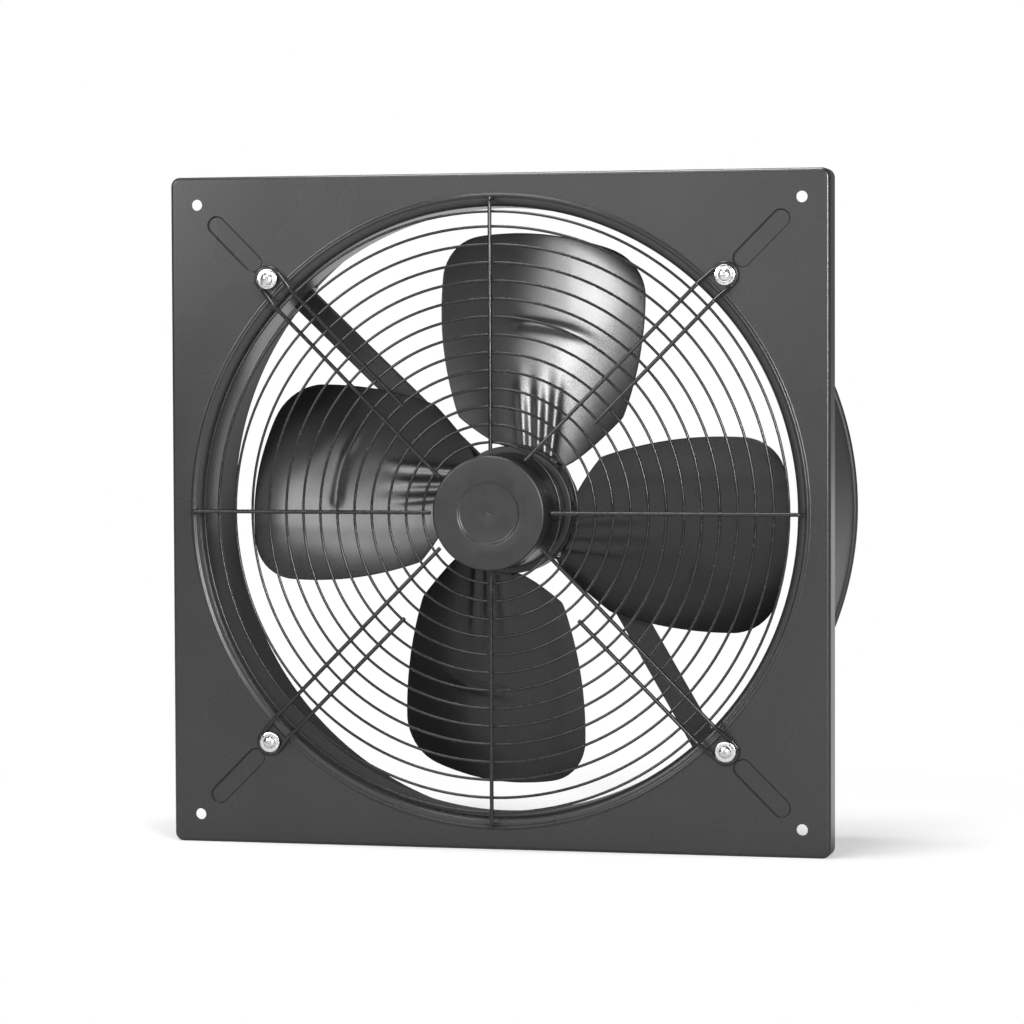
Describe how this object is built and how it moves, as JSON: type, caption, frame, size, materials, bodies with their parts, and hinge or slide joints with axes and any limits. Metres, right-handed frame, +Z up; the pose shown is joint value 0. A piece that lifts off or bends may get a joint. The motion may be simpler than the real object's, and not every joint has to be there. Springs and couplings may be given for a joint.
{
  "type": "industrial exhaust fan",
  "caption": "Square wall-plate axial exhaust fan with a wire guard, four pressed blades on an external-rotor motor, and a round duct behind the plate.",
  "frame": {"origin": "centre of the four wall bolt holes, on the plate's front face", "axes": "+Z up the plate, -Y towards the room and the guard, +Y along the duct, +X to the right seen from the room"},
  "size_m": [0.6, 0.191, 0.6],
  "materials": {
    "plate_paint": "satin black powder coat",
    "guard_coating": "semi-gloss black wire coating",
    "blade_paint": "semi-gloss black enamel",
    "arm_paint": "satin black paint",
    "motor_paint": "satin dark grey paint",
    "zinc": "bright zinc plate",
    "bearing_steel": "ground steel",
    "core_steel": "laminated steel",
    "copper_wire": "enamelled copper wire",
    "black_plastic": "matte black",
    "cage_plastic": "natural nylon"
  },
  "bodies": {
    "casing": {"mounting_plate": "plate_paint", "duct_ring": "plate_paint", "wire_guard": "guard_coating", "guard_screws": "zinc", "guard_washers": "zinc", "guard_nuts": "zinc", "upper_arm": "arm_paint", "lower_arm": "arm_paint", "arm_bolts": "zinc", "arm_nuts": "zinc", "motor_bolts": "zinc", "stator_flange": "motor_paint", "stator_core": "core_steel", "stator_windings": "copper_wire", "rear_cap": "black_plastic", "front_bearing_outer": "bearing_steel", "rear_bearing_outer": "bearing_steel", "cable_gland": "black_plastic", "gland_nut": "black_plastic"},
    "rotor": {"rotor_can": "motor_paint", "rotor_cage": "core_steel", "shaft": "bearing_steel", "shaft_circlip": "bearing_steel", "front_bearing_inner": "bearing_steel", "rear_bearing_inner": "bearing_steel", "hub_ring": "motor_paint", "blade_feet": "blade_paint", "blade_rivets": "zinc", "blade_1": "blade_paint", "blade_2": "blade_paint", "blade_3": "blade_paint", "blade_4": "blade_paint"},
    "front_ball_train": {"front_bearing_balls": "bearing_steel", "front_bearing_cage": "cage_plastic"},
    "rear_ball_train": {"rear_bearing_balls": "bearing_steel", "rear_bearing_cage": "cage_plastic"}
  },
  "joints": [
    {"name": "impeller_spin", "type": "hinge", "parent": "casing", "child": "rotor", "pos_m": [0, 0, 0], "axis": [0, 1, 0], "continuous": true},
    {"name": "front_balls_roll", "type": "hinge", "parent": "casing", "child": "front_ball_train", "pos_m": [0, 0, 0], "axis": [0, 1, 0], "continuous": true},
    {"name": "rear_balls_roll", "type": "hinge", "parent": "casing", "child": "rear_ball_train", "pos_m": [0, 0, 0], "axis": [0, 1, 0], "continuous": true}
  ],
  "couplings": [
    {"joint": "front_balls_roll", "follows": "impeller_spin", "ratio": 0.381},
    {"joint": "rear_balls_roll", "follows": "impeller_spin", "ratio": 0.381}
  ]
}
